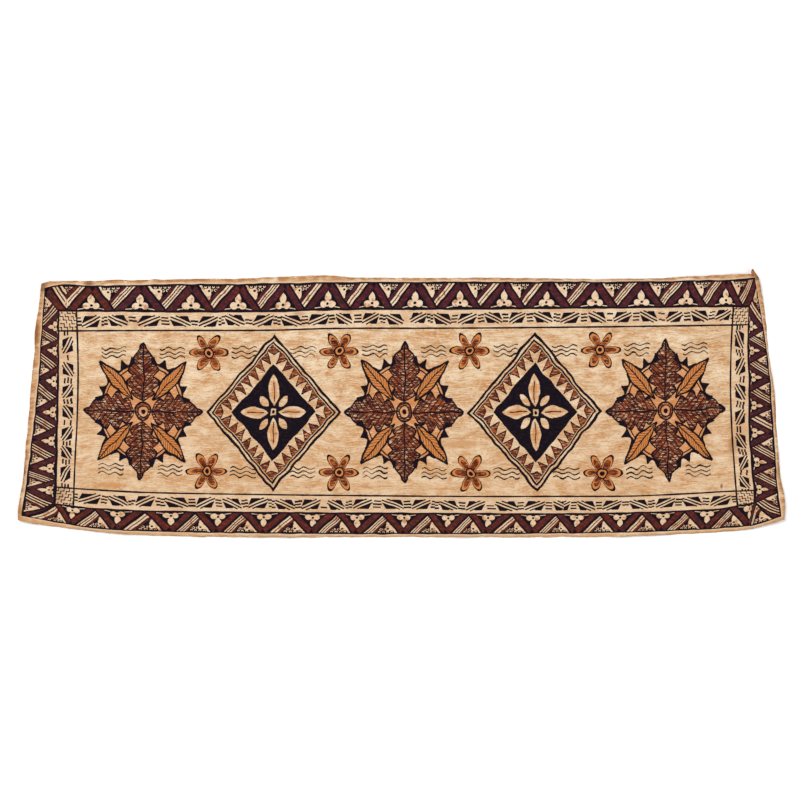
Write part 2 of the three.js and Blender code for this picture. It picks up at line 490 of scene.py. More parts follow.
class Desk:
    def __init__(self, tree):
        self.tree = tree

    def node(self, kind, **settings):
        made = self.tree.nodes.new(kind)
        for name, value in settings.items():
            setattr(made, name, value)
        return made

    def feed(self, socket, value):
        if isinstance(value, Wire):
            self.tree.links.new(value.socket, socket)
        else:
            socket.default_value = value

    def fed(self, made, values):
        for socket, value in zip(made.inputs, values):
            self.feed(socket, value)
        return Wire(self, made.outputs[0])

    def math(self, operation, *values, clamp=False):
        made = self.node("ShaderNodeMath", operation=operation, use_clamp=clamp)
        return self.fed(made, values)

    def vector(self, operation, *values):
        return self.fed(self.node("ShaderNodeVectorMath", operation=operation), values)

    def inside(self, distance, soft=0.5):
        # 1 where the distance is below 0 and 0 outside, over a soft step in mm
        return self.math("MULTIPLY_ADD", distance, -1 / soft, 0.5, clamp=True)

    def chained(self, operation, values):
        total = values[0]
        for value in values[1:]:
            total = self.math(operation, total, value)
        return total

    def lowest(self, *values):
        return self.chained("MINIMUM", values)

    def highest(self, *values):
        return self.chained("MAXIMUM", values)

    # of masks, the same thing reads better as both and either
    both = lowest
    either = highest

    def within(self, *distances):
        # 1 where every distance is below 0
        return self.inside(self.highest(*distances))

    def strip(self, value, place):
        # distance from a strip, given as its middle and half width
        return abs(value - place[0]) - place[1]

    def disc(self, x, y, place):
        # distance from a disc, given as its two coordinates and its radius
        return self.length(x - place[0], y - place[1]) - place[2]

    def cell(self, count, width):
        # how far a place is from its cell's middle, and the cell's number
        return (self.math("FRACT", count) - 0.5) * width, self.math("FLOOR", count)

    def length(self, x, y):
        return self.math("SQRT", self.math("MULTIPLY_ADD", x, x, y * y))

    def wrap(self, value, low, high):
        return self.math("WRAP", value, high, low)

    def pick(self, mask, off, on):
        # off where the mask is 0, on where it is 1
        made = self.node("ShaderNodeMix", data_type="FLOAT", clamp_factor=False)
        self.feed(made.inputs[0], mask)
        self.feed(made.inputs[2], off)
        self.feed(made.inputs[3], on)
        return Wire(self, made.outputs[0])

    def tint(self, mask, under, over):
        made = self.node("ShaderNodeMix", data_type="RGBA")
        self.feed(made.inputs[0], mask)
        self.feed(made.inputs[6], under)
        self.feed(made.inputs[7], over)
        return Wire(self, made.outputs[2])

    def parts(self, vector):
        made = self.node("ShaderNodeSeparateXYZ")
        self.feed(made.inputs[0], vector)
        return [Wire(self, output) for output in made.outputs]

    def cloud(self, place, sizes, detail=2.0, roughness=0.5, shift=0.0, channel="Fac"):
        moved = self.vector("MULTIPLY_ADD", place, (1 / sizes[0], 1 / sizes[1], 0),
                            (shift, shift * 0.7, 0))
        made = self.node("ShaderNodeTexNoise", noise_dimensions="2D")
        self.feed(made.inputs["Vector"], moved)
        self.feed(made.inputs["Scale"], 1.0)
        self.feed(made.inputs["Detail"], detail)
        self.feed(made.inputs["Roughness"], roughness)
        return Wire(self, made.outputs[channel])

    def chance(self, number):
        # three chance numbers from 0 to 1 that belong to a whole number
        made = self.node("ShaderNodeTexWhiteNoise", noise_dimensions="1D")
        self.feed(made.inputs["W"], number)
        return self.parts(Wire(self, made.outputs["Color"]))

    def attribute(self, name):
        made = self.node("ShaderNodeAttribute", attribute_name=name)
        return self.parts(Wire(self, made.outputs["Vector"]))

    def step(self, value, low, high):
        # 0 below low, 1 above high, straight between them
        scale = 1 / (high - low)
        return self.math("MULTIPLY_ADD", value, scale, -low * scale, clamp=True)


def colour(red, green, blue):
    # a colour as seen on screen, 0 to 255, as the shader's own numbers
    parts = [channel / 255 for channel in (red, green, blue)]
    return tuple(c / 12.92 if c <= 0.04045 else ((c + 0.055) / 1.055) ** 2.4 for c in parts) + (1,)


# Bare beaten bark

bark = {
    "light": colour(233, 210, 179),
    "pale": colour(219, 190, 154),
    "main": colour(205, 167, 127),
    "warm": colour(196, 146, 98),
    "deep": colour(160, 104, 62),
    "burnt": colour(128, 76, 42),
    "stain": colour(194, 138, 84),
    "speck": colour(104, 62, 38),
    "grey": colour(168, 144, 120),
    "roughness": 0.92,
    "drift": 26.0,  # how far the grain wanders off straight, mm
    "rippleHeight": 2.1,  # mm, from the lowest to the highest of the soft ripples
    "fibreHeight": 0.7,
    "shine": 0.06,
    "markEdge": (1.15, 0.35),  # where a mark starts and where it is full, in its half sizes
    "markStrength": 0.78,
}

# Clouds of the bark: size along and across the grain in mm, detail, roughness and shift
barkClouds = {
    "broad": ((110, 52), 4, 0.6, 2.0),
    "ripple": ((48, 7), 3, 0.5, 21.0),
    "fibre": ((26, 2.2), 4, 0.6, 9.0),
    "band": ((120, 15), 5, 0.62, 5.0),
    "stain": ((36, 20), 5, 0.66, 43.0),
    "grain": ((6.5, 2.2), 2, 0.7, 29.0),
    "speck": ((4.5, 3.0), 1, 0.5, 17.0),
}

# Tints laid one over the other: the cloud, where in it they start and are full, strength, colour
barkTints = (
    ("band", 0.52, 0.68, 0.9, "warm"), ("band", 0.46, 0.32, 0.6, "light"),
    ("ripple", 0.54, 0.7, 0.4, "warm"), ("stain", 0.5, 0.66, 0.85, "stain"),
    ("stain", 0.46, 0.3, 0.75, "light"), ("fibre", 0.57, 0.72, 0.7, "deep"),
    ("fibre", 0.46, 0.3, 0.8, "light"), ("grain", 0.48, 0.3, 0.45, "light"),
    ("grain", 0.6, 0.76, 0.6, "deep"), ("speck", 0.75, 0.81, 0.85, "speck"),
)

# Marks on the bark: x, y, half width, half height in mm, and which colour. The dark speck at (695,
# 245) is painted shade at the foot of the curled corner tag
barkMarks = (
    (-212, -49, 24, 11, "grey"), (-247, -59, 6, 2.6, "speck"), (608, -98, 26, 7, "warm"),
    (627, -162, 3, 6, "speck"), (695, 245, 7, 7, "speck"), (687, 257, 10, 14, "deep"),
    (-300, -140, 60, 16, "warm"), (120, -80, 50, 9, "warm"), (-200, 176, 16, 6, "deep"),
    (-668, -178, 12, 20, "deep"), (662, -55, 20, 46, "stain"), (650, -82, 12, 18, "deep"),
    (-420, 243, 40, 6, "deep"), (-60, 170, 26, 8, "stain"), (84, 168, 24, 7, "stain"),
    (-716, 140, 8, 26, "burnt"), (-702, 229, 11, 15, "burnt"), (-612, 237, 11, 10, "burnt"),
    (-698, 222, 3, 3, "speck"), (-706, 236, 2, 2, "speck"), (688, 262, 7, 9, "deep"),
    (-739, -134, 4, 9, "speck"), (-746, -212, 7, 15, "deep"), (733, -14, 6, 30, "deep"),
    (740, -128, 6, 28, "deep"), (-566, -160, 30, 6, "stain"), (300, 182, 30, 5, "stain"),
)


def barkSurface(desk, place):
    # returns the colour of the bare bark and its height in mm
    drift = desk.cloud(place, (95, 70), channel="Color")
    drifted = desk.vector("MULTIPLY_ADD", drift, (10, bark["drift"], 0), place)
    clouds = {}
    for name, (sizes, detail, roughness, shift) in barkClouds.items():
        start = place if name in ("broad", "speck") else drifted
        clouds[name] = desk.cloud(start, sizes, detail, roughness, shift)
    height = clouds["ripple"] * bark["rippleHeight"] + clouds["fibre"] * bark["fibreHeight"]
    shade = desk.tint(desk.step(clouds["broad"], 0.4, 0.62), bark["pale"], bark["main"])
    for name, low, high, strength, over in barkTints:
        shade = desk.tint(desk.step(clouds[name], low, high) * strength, shade, bark[over])
    return shade, height


def paintMarks(desk, shade, x, y):
    for markX, markY, halfWidth, halfHeight, name in barkMarks:
        far = desk.length((x - markX) * (1 / halfWidth), (y - markY) * (1 / halfHeight))
        mark = desk.step(far, *bark["markEdge"]) * bark["markStrength"]
        # one of the marks, at the foot of the curled corner tag, is painted shade
        shade = desk.tint(mark, shade, bark[name])
    return shade


# The paint: black ink, brown and maroon dye, and a thin orange wash

dyes = {
    "ink": colour(16, 10, 20),
    "inkThin": colour(36, 19, 27),
    "maroon": colour(76, 16, 36),
    "brown": colour(96, 31, 19),
    "rust": colour(146, 70, 36),
    "orange": colour(198, 118, 54),
    "blush": colour(172, 106, 58),
    "cream": colour(230, 206, 176),
}

# Border cell, its triangle's foot on the inner line. A strip is its middle and half width, a disc
# its place aside, its place outwards and its radius
borderCell = {
    "width": 88.0,
    "height": 52.0,
    "stray": 80.0,  # so much wandering of the brush would shift a motif by a whole cell
    "foot": 1.5,  # where the arms start, out from the inner line
    "leftTurn": (0.781, 0.625),  # which way each arm's outer edge faces
    "rightTurn": (0.842, 0.539),
    "armFeet": (34.4, 37.0),  # how far those edges stand from the cell's middle at the foot
    "arms": (12.0, 14.0),  # how broad the left and the right arm are
    "armLine": 2.3,  # ink along an arm's outer edge
    "ring": (25.6, 28.0),  # strip of the whole band
    "clear": (26.1, 24.3),  # the same inside its two ink lines
    "ribbonMiddle": (9.0, 8.0),  # on the short sides, and on the long sides
    "ribbonHalf": 4.75,
    "lineOff": 2.3,  # how far each of two lines stands from the ribbon's middle
    "dashPitch": 5.8,
    "thinArm": (16.9, 2.7),
    "armEnd": 19.6,
    "sideShift": 2.1,  # ribbons are this much broader on the two short sides
    "cornerRibbon": (6.2, 4.6),
    "wedgeBump": (-11.0, 40.0, 5.2),
    "wedgeEye": (-11.0, 39.5, 2.3),
    "wedgeStrip": (4.0, 1.9),
    "curlStrip": (40.5, 4.4),
}

borderFlower = {
    "middle": 2.2,
    "wander": 3.0,
    "leaf": (-7.0, 23.5, 13.4),
    "spike": (35.5, 5.0),
    "lobe": (7.6, 10.4, 6.9),
    "core": (0.0, 12.0, 5.8),
    "eye": (0.0, 11.6, 2.7),
    "tail": (20.0, 6.5),
}


def flowerMask(desk, x, y, hollow, along, isLong, lower, chances):
    # the flower in the hollow: a leaf standing on two lobes, with a dot and two tails
    flower = borderFlower
    x = abs(x + chances[0] * flower["wander"] - flower["middle"]) * (1 + lower * 0.1)
    leafY = y - lower * 2.5
    body = desk.lowest(desk.disc(x, leafY, flower["leaf"]),
                       desk.highest(x - 0.9, desk.strip(leafY, flower["spike"])),
                       desk.disc(x - chances[1] * 0.8, y, flower["lobe"]),
                       desk.disc(x, y, flower["core"]))
    smaller = (1 - isLong) * ((along < 0) * 0.7 + 0.3)
    tails = desk.highest(abs(x * 0.17 + y - 7.2) - 0.9, desk.strip(x, flower["tail"]))
    whole = desk.lowest(body + smaller, tails)
    return desk.within(whole, -desk.disc(x, y, flower["eye"]), 1.3 - hollow)


def notchMasks(desk, along, y, isLong, upperLeft, lower):
    # the notch between two triangles: striped ribbon, thin arm, and a pointed leaf over scallops
    cell = borderCell
    up = y - cell["foot"]
    x, number = desk.cell(along + 0.5, cell["width"])
    x = x * (1 - (along > 6.5) * (1 - isLong) * 2)
    leftX, leftUp = cell["leftTurn"]
    rightX, rightUp = cell["rightTurn"]
    rightSide = up * leftUp - x * leftX
    leftSide = x * rightX + up * rightUp
    one, two = desk.chance(number + isLong * 50 + 200)[:2]
    twin = one + (1 - isLong) * 0.4 > 0.55
    wider = (1 - isLong) * cell["sideShift"]
    off = abs(rightSide - desk.pick(isLong, *cell["ribbonMiddle"]) - lower * 1.6)
    ribbon = desk.within(off - cell["ribbonHalf"] - twin - wider, 1.5 - leftSide)
    dash = desk.inside(abs(off - twin * (cell["lineOff"] + wider * 0.5)) - 1.0 - wider * 0.4)
    run = desk.math("FRACT", (x * leftUp + up * leftX) * (1 / cell["dashPitch"]))
    dash = desk.both(dash, desk.either(desk.step(run, 0.96, 0.88), 1 - isLong))
    cream = desk.both(ribbon, 1 - dash)
    arm = desk.within(desk.strip(rightSide - wider * 1.4, cell["thinArm"]), 1.5 - leftSide)

    # in the upper left corner a second ribbon runs along the other side
    corner = desk.inside(abs(along) - 0.5, 0.02) * isLong * upperLeft
    middle, half = cell["cornerRibbon"]
    ribbon = abs(leftSide - middle)
    ribbon = desk.within(ribbon - half, 1.0 - ribbon, 2 - rightSide)
    cream = desk.either(cream, desk.both(ribbon, corner))
    leftSide = leftSide - corner * 13
    beyond = cell["armEnd"] + wider * 1.4 - rightSide

    wedge = desk.highest(x + abs(y - 33) * 0.25 + 5.6 + two * 2, y - 44)
    wedge = desk.lowest(wedge, desk.disc(x, y, cell["wedgeBump"]),
                        desk.strip(leftSide, cell["wedgeStrip"]))
    wedge = desk.within(wedge, -desk.disc(x, y, cell["wedgeEye"]), 1.5 - leftSide, beyond + 1.2)
    curlX = x + two * 3
    scallopX = desk.wrap(curlX, -4.0, 4.0)
    scallop = desk.within(desk.length(scallopX, (y - 47.4) * 1.15) - 2.6,
                          1.5 - desk.length(scallopX, y - 48.8), 7 - leftSide)
    curl = abs(desk.length(desk.wrap(curlX + 4, -4.2, 4.2), (y - 41.2) * 1.1) - 2.5) - 0.8
    curl = desk.within(curl, desk.strip(y, cell["curlStrip"]), -5 - x)
    scallop = desk.both(desk.either(scallop, curl), desk.inside(beyond + 1.4))
    return desk.either(cream, wedge, scallop), arm


def borderBand(desk, alongLong, alongShort, outX, outY, upperLeft, lower, wobbleX, wobbleY):
    # masks of the triangle band's ink, of the dye under it and of its cream parts, how far out the
    # place is, and a chance number
    cell = borderCell
    isLong = outY > outX * (1 - upperLeft * 0.25)
    along = desk.pick(isLong, alongShort, alongLong) + wobbleX * (1 / cell["stray"])
    y = desk.highest(outX, outY) * cell["height"] + wobbleY
    ring = desk.inside(desk.strip(y, cell["ring"]), 0.7)
    clear = desk.inside(desk.strip(y, cell["clear"]))
    x, number = desk.cell(along, cell["width"])
    chances = desk.chance(number + isLong * 50 + 0.5)
    up = y - cell["foot"]

    # the two arms of each triangle, parted by a seam where they meet
    leftX, leftUp = cell["leftTurn"]
    rightX, rightUp = cell["rightTurn"]
    leftEdge = x * leftX - up * leftUp + cell["armFeet"][0]
    rightEdge = cell["armFeet"][1] - x * rightX - up * rightUp
    hollow = desk.lowest(leftEdge - cell["arms"][0] - chances[0] * 2, rightEdge - cell["arms"][1])
    hollow = hollow - (1 - isLong) * 1.6
    nearest = desk.lowest(leftEdge + isLong * 1.2, rightEdge)
    seam = desk.highest(abs(x - 4) - (y - 41) * 0.55, 41 - y)
    arms = desk.within(cell["armLine"] - nearest, hollow + 0.7, -seam)

    flower = flowerMask(desk, x, y, hollow, along, isLong, lower, chances[1:])
    notch, thinArm = notchMasks(desk, along, y, isLong, upperLeft, lower)
    cream = desk.both(desk.either(flower, notch), clear, ring)
    dye = desk.both(desk.either(arms, thinArm), clear, ring, 1 - cream)
    ink = ring - desk.either(cream, dye)
    return ink, desk.both(ring, 1 - cream), cream, y, chances[0]


# One group of slanted strokes: three strokes side by side between two dark corners
strokeBand = {
    "cell": 52.0,
    "half": 16.2,
    "turn": 25.0,  # degrees
    "middleStroke": (1.5, 18.5),  # half width and half length
    "outerStroke": (1.3, 15.0),
    "outerOff": 5.4,
    "patch": (9.8, 15.8),  # half height and half width of the stretch that the corners fill
    "patchOff": 4.2,  # how far the dark corners stand off the middle stroke
    "notch": (13.5, 12.5, 11.0),  # disc bitten out of each dark corner
    "dashRow": 6.0,  # between the three short dashes that part two groups
    "dash": (1.35, 5.6),
    "halfSplit": 1295.0,  # parts the chance numbers of one half of the band from the other's
    "slipFrom": 953.0,  # where two groups in a row lean the same way, mm along the field's foot
    "linePitch": 7.4,  # between the stepped lines of a corner square
    "line": 1.35,
    "ruledLine": 1.65,
}


def cornerSquare(desk, beyondX, beyondY, wobbleX, wobbleY, thin):
    # stepped lines along the mitre
    pitch = strokeBand["linePitch"]
    slant = (beyondX - beyondY + wobbleY * 2) * (0.707 / pitch)
    length = (beyondX + beyondY + wobbleX) * 0.707
    slant, number = desk.cell(slant, pitch)
    stairs = desk.math("SINE", length * 0.72 + number * 0.9) * 1.7
    gaps = desk.step(desk.math("SINE", length * 0.21 + number * 3.7), -0.97, -0.9)
    return desk.both(desk.inside(abs(slant + stairs) - strokeBand["line"] - thin), gaps)


def strokeMarks(desk, fieldX, fieldY, countLong, countShort, wobbleX, wobbleY, thin):
    # ink of the band of slanted strokes round the field, its corner squares and ruled lines
    band = strokeBand
    halfLong, halfShort = paint["field"][0] / 2, paint["field"][1] / 2
    width = paint["strokeBand"]
    beyondX = abs(fieldX - halfLong) - halfLong
    beyondY = abs(fieldY - halfShort) - halfShort
    isLong = beyondY > beyondX
    far = desk.highest(beyondX, beyondY)
    inCorner = desk.inside(1 - desk.lowest(beyondX, beyondY))
    inBand = desk.inside(abs(far - width / 2) - band["half"])
    count = desk.pick(isLong, countShort, countLong) + wobbleX * (1 / band["cell"])
    g, number = desk.cell(count, band["cell"])
    slip = (fieldY < 0) * (fieldX > band["slipFrom"])
    facing = 1 - desk.math("FRACT", (number + slip) * 0.5) * 4
    quarter = isLong * 400 + (fieldX + fieldY * 4 > band["halfSplit"]) * 800
    one, two, three = desk.chance(number + quarter)
    across = far - width / 2 + wobbleY + two * 3 - 1.5

    g = g * (1.16 - three * 0.16 - isLong * 0.1)
    h = across * facing
    turn = math.radians(band["turn"])
    alongStroke = g * math.cos(turn) + h * math.sin(turn)
    offStroke = h * math.cos(turn) - g * math.sin(turn)
    off = abs(offStroke)
    lean = alongStroke * desk.math("SIGN", offStroke)
    thick, reach = band["middleStroke"]
    middle = desk.highest(off - thick - thin, abs(alongStroke) - reach - one * 2)
    thick, reach = band["outerStroke"]
    outer = desk.highest(abs(off - band["outerOff"]) - thick - thin,
                         abs(lean + 3.5 - one * 3) - reach)
    high, wide = band["patch"]
    corners = desk.highest(band["patchOff"] - off, abs(h) - high, abs(g - h * 0.45) - wide - one,
                           -desk.disc(lean - two * 4, off, band["notch"]))
    ink = desk.inside(desk.lowest(middle, outer, corners))

    # short dashes between the groups
    g, number = desk.cell(count + 0.5, band["cell"])
    row = desk.math("FLOOR", across * (1 / band["dashRow"]) + 0.5)
    there, longer, aside = desk.chance(number + row * 31 + quarter)
    thick, reach = band["dash"]
    dash = desk.within(abs(across - row * band["dashRow"]) - thick - longer * 0.6 - thin,
                       abs(g + aside * 3 - 1.5) - reach - longer * 2, abs(across) - 9)
    ink = desk.either(ink, desk.both(dash, there > 0.12))
    ink = desk.both(ink, inBand, 1 - inCorner)

    square = cornerSquare(desk, beyondX, beyondY, wobbleX, wobbleY, thin)
    ink = desk.either(ink, desk.both(square, inCorner, inBand))
    ruled = desk.lowest(abs(beyondX), abs(beyondY)) - band["ruledLine"] - thin * 2
    return desk.either(ink, desk.within(ruled, far - width)), far


# The field: a generic repeat of leaf rosettes, diamonds, stars and waves
fieldDesign = {
    "pitch": 516.0,
    "rosetteAt": 129.0,
    "diamondAt": 387.0,
    "squeeze": 0.86,  # rosettes and diamonds are a little taller than wide
    "outline": (2.0, 1.7),  # half the line's width round broad leaves and stars, and thin leaves
    "leafReach": (17.0, 118.0),
    "leafWidth": 29.0,
    "leafStrip": (67.5, 51.0),
    "veinPitch": 9.4,
    "thinLeafReach": (27.0, 122.0),
    "thinLeafStrip": (74.5, 47.5),
    "thinLeafWidth": 12.0,
    "barbPitch": 7.0,
    "centreRings": ((15.0, 1.5), (9.5, 1.1), (0.0, 4.2)),  # radius and half width
    "centreDye": (12.3, 2.4),
    "halo": 84.0,
    "innerRing": (78.0, 1.2),
    "teeth": (91.0, 6.5),
    "diamondRings": ((130.0, 3.2), (120.0, 2.3)),
    "pointRow": (101.0, 15.0),
    "ground": 83.0,  # black ground of the diamond, middle to corner
    "petal": (-29.0, 37.0, 39.5),
    "smallPetal": (-9.0, 27.0, 15.0),
    "petalRib": (34.0, 17.0),
    "starRow": 118.0,
    "star": (12.0, 26.0),  # round middle, and how far the rays stand out of it
    "starRing": (9.0, 1.5),
    "starsWithin": 600.0,
    "waves": (71.0, 25.0),
}


def rosette(desk, x, y, thin):
    # four lobed leaves and four thin ones round a ringed centre
    design = fieldDesign
    broadLine, thinLine = design["outline"]
    reach, side = desk.highest(x, y), desk.lowest(x, y)
    share = desk.step(reach, *design["leafReach"])
    shape = desk.math("SINE", desk.math("POWER", share, 0.75) * math.pi)
    lobes = abs(desk.math("SINE", share * (4.5 * math.pi)))
    leaf = side - shape * design["leafWidth"] * (0.72 + lobes * 0.42)
    vein = desk.math("FRACT", (reach - side * 0.9) * (1 / design["veinPitch"]))
    vein = desk.both(desk.step(vein, 0.28, 0.2), desk.within(leaf, 2 - side))
    ink = desk.either(desk.inside(abs(leaf) - broadLine - thin), vein,
                      desk.within(side - 1.4, leaf))
    ink = desk.both(ink, desk.inside(desk.strip(reach, design["leafStrip"])))

    along = (x + y) * 0.707
    off = abs(x - y) * 0.707
    share = desk.step(along, *design["thinLeafReach"])
    thinLeaf = off - desk.math("SINE", share * math.pi) * design["thinLeafWidth"]
    wash = desk.inside(thinLeaf, 1.0)
    barb = desk.math("FRACT", (along - off * 1.4) * (1 / design["barbPitch"]))
    barb = desk.both(desk.step(barb, 0.26, 0.16), wash)
    thinInk = desk.either(desk.inside(abs(thinLeaf) - thinLine - thin), barb,
                          desk.inside(off - 1.1))
    inRange = desk.inside(desk.strip(along, design["thinLeafStrip"]))
    ink = desk.either(ink, desk.both(thinInk, inRange))

    centre = desk.length(x, y)
    rings = [desk.strip(centre, ring) for ring in design["centreRings"]]
    ink = desk.either(ink, desk.inside(desk.lowest(*rings)))
    dye = desk.inside(desk.lowest(leaf, desk.strip(centre, design["centreDye"])))
    halo = centre - design["halo"]
    rim = desk.inside(desk.lowest(abs(halo) - 1.8 - thin, desk.strip(centre, design["innerRing"])))
    teeth = abs(desk.math("SINE", desk.math("ARCTAN2", y, x) * 14)) * 13 + centre - 99
    teeth = desk.within(desk.strip(centre, design["teeth"]), teeth)
    ink = desk.either(ink, desk.both(desk.either(rim, teeth), desk.within(-leaf, -thinLeaf)))
    return ink, dye, wash, desk.inside(halo, 2)


def diamond(desk, x, y):
    # two outlines, a row of points, and a cream flower on black
    design = fieldDesign
    reach = x + y
    rings = [desk.strip(reach, ring) for ring in design["diamondRings"]]
    points = desk.math("PINGPONG", x - y, 13.0) * 2.4 - 31 + (118 - reach)
    row = desk.strip(reach, design["pointRow"])
    dye = desk.within(points, row)
    ink = desk.either(desk.inside(desk.lowest(*rings)), desk.within(abs(points) - 3.2, row))
    wash = desk.within(points - 3, row) * 0.5

    ground = desk.inside(reach - design["ground"])
    longer, shorter = desk.highest(x, y), desk.lowest(x, y)
    petal = desk.disc(shorter, longer, design["petal"])
    petalRib = desk.highest(shorter - 1, desk.strip(longer, design["petalRib"]))
    smallPetal = desk.disc(abs(x - y) * 0.707, reach * 0.707, design["smallPetal"])
    cream = desk.either(desk.within(petal, -petalRib),
                        desk.inside(desk.lowest(smallPetal, longer - 5.5)))
    cream = desk.both(cream, 1 - desk.inside(desk.length(x, y) - 3.2), ground)
    wash = desk.either(wash, desk.both(desk.inside(petal + 4.5, 2), cream) * 0.6)
    return ink, dye, wash, ground, cream


def starAndWaves(desk, x, y, fieldX, thin):
    # a six-rayed star, and waves on either side of it
    design = fieldDesign
    rays = abs(desk.math("COSINE", desk.math("ARCTAN2", y, x) * 3))
    middle = desk.length(x, y)
    core, raised = design["star"]
    star = middle - core - desk.math("POWER", rays, 1.4) * raised
    whole = desk.inside(abs(fieldX - paint["field"][0] / 2) - design["starsWithin"])
    starInk = desk.inside(desk.lowest(abs(star) - design["outline"][0] - thin,
                                      desk.strip(middle, design["starRing"]), middle - 4.4))
    wash = desk.both(desk.inside(star, 1.5), whole)
    dye = desk.both(desk.inside(star + 7.5, 1.5), desk.inside(10 - middle), whole)
    wave = y + desk.math("SINE", x * 0.26) * 2.4
    waves = desk.within(abs(desk.wrap(wave, -4.2, 4.2)) - 1.2 - thin, abs(wave) - 12.6,
                        desk.strip(abs(x), design["waves"]))
    return desk.either(desk.both(starInk, whole), waves), dye, wash


def fieldPaint(desk, fieldX, fieldY, wobbleX, wobbleY, thin):
    # ink, dye, wash and halo masks of the field
    design = fieldDesign
    halfLong, halfShort = paint["field"][0] / 2, paint["field"][1] / 2
    across = fieldX + wobbleX
    upward = fieldY - halfShort + wobbleY
    half = design["pitch"] / 2
    y = abs(upward) * design["squeeze"]

    middle = design["rosetteAt"]
    x = abs(desk.wrap(across, middle - half, middle + half) - middle)
    ink, dye, wash, halo = rosette(desk, x, y, thin)
    middle = design["diamondAt"]
    x = abs(desk.wrap(across, middle - half, middle + half) - middle)
    diamondInk, diamondDye, diamondWash, ground, cream = diamond(desk, x, y)
    ink = desk.either(desk.both(desk.either(ink, diamondInk), 1 - ground), ground - cream)
    x = desk.wrap(across, half / 2, half / 2 + half) - half
    starInk, starDye, starWash = starAndWaves(desk, x, abs(upward) - design["starRow"], fieldX, thin)

    masks = (desk.either(ink, starInk), desk.either(dye, diamondDye, starDye),
             desk.either(wash, diamondWash, starWash), halo)
    inField = desk.within(abs(fieldX - halfLong) - halfLong + 3,
                          abs(fieldY - halfShort) - halfShort + 2)
    return [desk.both(mask, inField) for mask in masks]


# The hand that drew it, mm: how far the brush wanders, slowly and in its ragged edge
hand = {
    "slow": 8.0,
    "fine": 1.3,
    "slowWidth": 1.6,
    "fineWidth": 0.8,
}

# Strengths, 0 to 1, of the uneven tones of the cloth and of the paint, and of the painted highlight
# beside the outer line
tonesAndPaintedHighlight = {
    "sideTan": 0.3,
    "footTan": 0.26,
    "creamLift": 0.6,
    "blush": 0.8,
    "marginTan": 0.9,
    "marginDark": 0.85,
    # the painted highlight of a ridge just outside the outer line
    "ridge": 0.5,
    "strokeBandLift": 0.25,
    "lowerBrown": 0.75,  # the lower band is browner than the upper one
    "firstGroupsBrown": 0.85,  # so are the first groups at the upper left
    "dryWash": 0.72,
    "darkPatches": 0.5,
    "darkBlots": 0.65,
    "sideDark": 0.3,
    "rustBlots": 0.25,
}


def startMaterial(name):
    material = bpy.data.materials.new(name)
    material.use_nodes = True
    desk = Desk(material.node_tree)
    coordinates = desk.node("ShaderNodeTexCoord")
    place = Wire(desk, coordinates.outputs["Object"])
    place = desk.vector("MULTIPLY", place, (1 / mm, 1 / mm, 1))
    return material, desk, place


def finishMaterial(material, desk, shade, roughness, height):
    shader = material.node_tree.nodes["Principled BSDF"]
    desk.feed(shader.inputs["Base Color"], shade)
    desk.feed(shader.inputs["Roughness"], roughness)
    shader.inputs["Specular IOR Level"].default_value = bark["shine"]
    bump = desk.node("ShaderNodeBump")
    bump.inputs["Strength"].default_value = 1.0
    bump.inputs["Distance"].default_value = mm
    desk.feed(bump.inputs["Height"], height)
    desk.feed(shader.inputs["Normal"], Wire(desk, bump.outputs[0]))
    print(material.name, "has", len(material.node_tree.nodes), "nodes")
    return material


def brushWander(desk, place):
    slowX, slowY, slowWidth = desk.parts(desk.cloud(place, (34, 34), detail=1, channel="Color"))
    fine = desk.cloud(place, (3.1, 2.2), detail=1, shift=40.0, channel="Color")
    fineX, fineY, fineWidth = desk.parts(fine)
    wobbleX = (slowX - 0.5) * hand["slow"] + (fineX - 0.5) * hand["fine"]
    wobbleY = (slowY - 0.5) * hand["slow"] + (fineY - 0.5) * hand["fine"]
    thin = (slowWidth - 0.5) * hand["slowWidth"] + (fineWidth - 0.5) * hand["fineWidth"]
    return wobbleX, wobbleY, thin


def marginShade(desk, place, shade, y, far, edge):
    # outside the outer line the bark is browner, with a painted highlight of a ridge beside the line
    margin = desk.step(far, 53, 54)
    # painted highlight: a pale strip just outside the outer line, where a ridge would catch the light
    ridge = margin * desk.step(far, 58.5, 54.5)
    deep = desk.step(edge, 12, 1.5) * margin * desk.step(y, -230, -180)
    mottle = desk.cloud(place, (22, 9), detail=3, roughness=0.6, shift=31.0)
    shade = desk.tint(margin * desk.step(mottle, 0.36, 0.6) * tonesAndPaintedHighlight["marginTan"], shade, bark["warm"])
    shade = desk.tint(deep * desk.step(mottle, 0.4, 0.62) * tonesAndPaintedHighlight["marginDark"], shade, bark["deep"])
    return desk.tint(ridge * tonesAndPaintedHighlight["ridge"], shade, dyes["cream"])


def paintShades(desk, place, x, tone, inField):
    # the colours of the dye and of the ink, each uneven in its own way
    rusty = desk.cloud(place, (30, 10), detail=3, shift=61.0)
    warm = desk.tint(desk.step(rusty, 0.42, 0.62) * inField, dyes["brown"], dyes["rust"])
    dyed = desk.tint(tone, dyes["maroon"], warm)
    blotch = desk.cloud(place, (8, 5), detail=3, roughness=0.65, shift=71.0)
    depth = desk.cloud(place, (26, 19), detail=3, roughness=0.6, shift=81.0)
    dyed = desk.tint(desk.step(depth, 0.41, 0.57) * tonesAndPaintedHighlight["darkPatches"], dyed, dyes["inkThin"])
    dyed = desk.tint(desk.step(blotch, 0.5, 0.6) * tonesAndPaintedHighlight["darkBlots"], dyed, dyes["inkThin"])
    dyed = desk.tint(desk.step(abs(x), 672, 682) * tonesAndPaintedHighlight["sideDark"], dyed, dyes["inkThin"])
    dyed = desk.tint(desk.step(blotch, 0.44, 0.34) * tonesAndPaintedHighlight["rustBlots"], dyed, dyes["rust"])
    inked = desk.tint(desk.step(blotch, 0.48, 0.68), dyes["ink"], dyes["inkThin"])
    return dyed, inked


